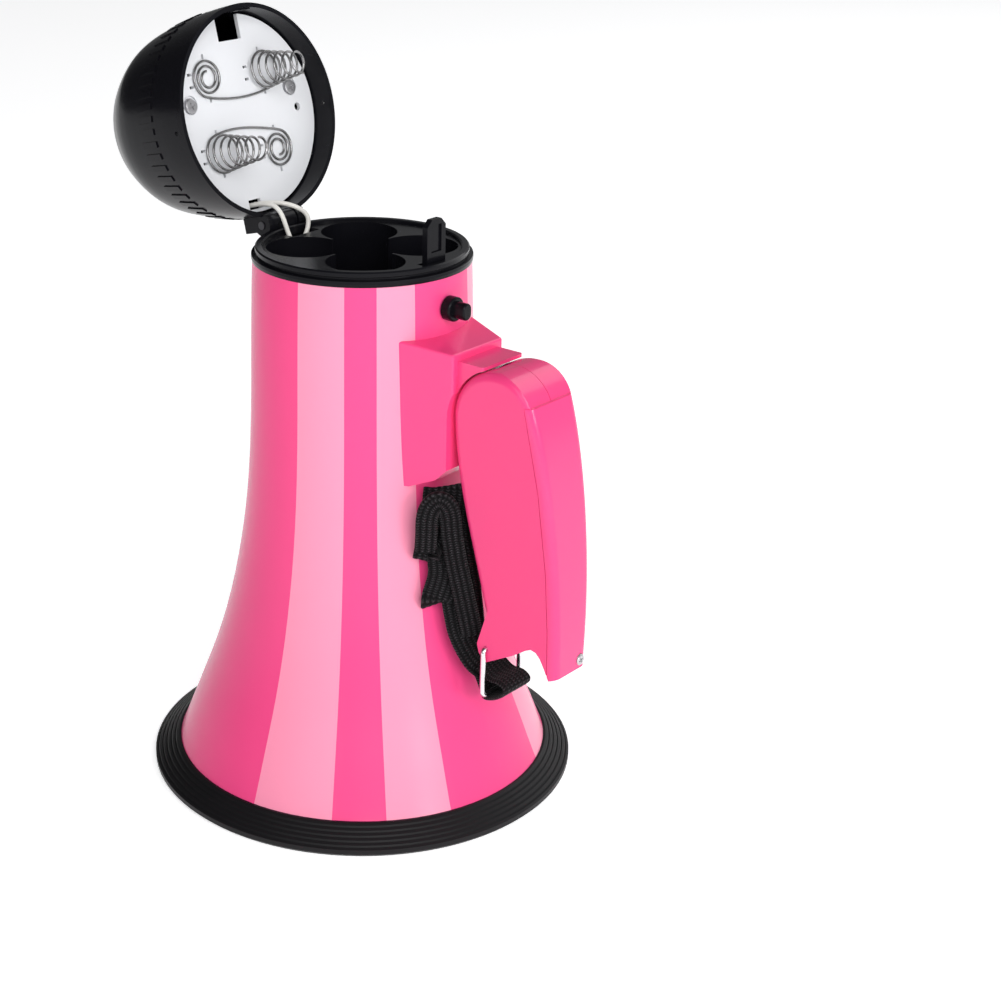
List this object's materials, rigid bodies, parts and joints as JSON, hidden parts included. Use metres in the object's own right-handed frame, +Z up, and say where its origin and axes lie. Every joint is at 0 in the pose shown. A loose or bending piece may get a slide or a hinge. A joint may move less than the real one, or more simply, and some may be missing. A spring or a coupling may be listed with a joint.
{
  "type": "handheld megaphone",
  "caption": "Handheld battery megaphone with flared horn, rubber bell ring, folding trigger handle, wrist strap and hinged rear battery lid.",
  "frame": {"origin": "centre of the bell mouth, on the plane that the rubber ring stands on", "axes": "+Z up the horn axis from the mouth to the rear, +X to the handle, -X to the battery lid's hinge"},
  "size_m": [0.2041, 0.16, 0.2777],
  "materials": {
    "pink_plastic": "glossy moulded plastic",
    "black_rubber": "satin moulded rubber",
    "black_plastic": "glossy moulded plastic",
    "grey_plastic": "satin moulded plastic",
    "contact_steel": "plated spring wire",
    "steel": "zinc plated",
    "ring_steel": "polished nickel plate",
    "lead_white": "satin wire insulation",
    "webbing": "woven nylon tape",
    "circuit_board": "solder resist",
    "component_black": "moulded case",
    "magnet": "bare ferrite",
    "diaphragm": "formed film"
  },
  "bodies": {
    "body": {"horn_shell": "pink_plastic", "bell_ring": "black_rubber", "rear_collar": "black_plastic", "lid_hinge_pin": "steel", "battery_tub": "black_plastic", "tub_link": "contact_steel", "tub_terminals": "contact_steel", "amp_board": "circuit_board", "amp_parts": "component_black", "board_screws": "steel", "driver_plate": "black_plastic", "driver_case": "black_plastic", "driver_magnet": "magnet", "driver_diaphragm": "diaphragm", "throat_tube": "black_plastic", "reflector_cup": "black_plastic", "handle_bracket": "pink_plastic", "bracket_screws": "steel", "handle_pin": "steel", "selector_switch": "component_black", "mic_lead_a": "lead_white", "mic_lead_b": "lead_white"},
    "lid": {"rear_cap": "black_plastic", "contact_plate": "grey_plastic", "plate_screws": "steel", "upper_contact": "contact_steel", "lower_contact": "contact_steel", "mic_grille": "black_plastic", "mic_capsule": "steel"},
    "latch": {"lid_latch": "black_plastic"},
    "selector": {"selector_knob": "black_plastic"},
    "handle": {"handle_left": "pink_plastic", "handle_right": "pink_plastic", "handle_cover": "pink_plastic", "handle_screws": "steel", "cover_screw": "steel", "talk_switch": "component_black", "trigger_spring": "contact_steel", "wrist_strap": "webbing"},
    "trigger": {"talk_trigger": "black_plastic"},
    "ring": {"strap_ring": "ring_steel", "strap_tab": "webbing"}
  },
  "joints": [
    {"name": "lid_hinge", "type": "hinge", "parent": "body", "child": "lid", "pos_m": [-0.0398, 0, 0.2022], "axis": [0, 1, 0], "range_deg": [-6, 104.5], "deforming": ["mic_lead_a", "mic_lead_b"]},
    {"name": "latch_flex", "type": "hinge", "parent": "body", "child": "latch", "pos_m": [0.0327, 0, 0.193], "axis": [0, -1, 0], "range_deg": [0, 4], "stiffness_Nm_per_rad": 0.3},
    {"name": "selector_turn", "type": "hinge", "parent": "body", "child": "selector", "pos_m": [0.0396, 0, 0.1855], "axis": [1, 0, 0], "range_deg": [-35, 35]},
    {"name": "handle_fold", "type": "hinge", "parent": "body", "child": "handle", "pos_m": [0.0705, 0, 0.1525], "axis": [0, -1, 0], "range_deg": [0, 90]},
    {"name": "trigger_press", "type": "slide", "parent": "handle", "child": "trigger", "axis": [0.9703, 0, 0.2419], "range_m": [0, 0.003], "stiffness_N_per_m": 500},
    {"name": "ring_swing", "type": "hinge", "parent": "handle", "child": "ring", "pos_m": [0.0668, 0, 0.068], "axis": [0, -1, 0], "range_deg": [-10, 60]}
  ]
}
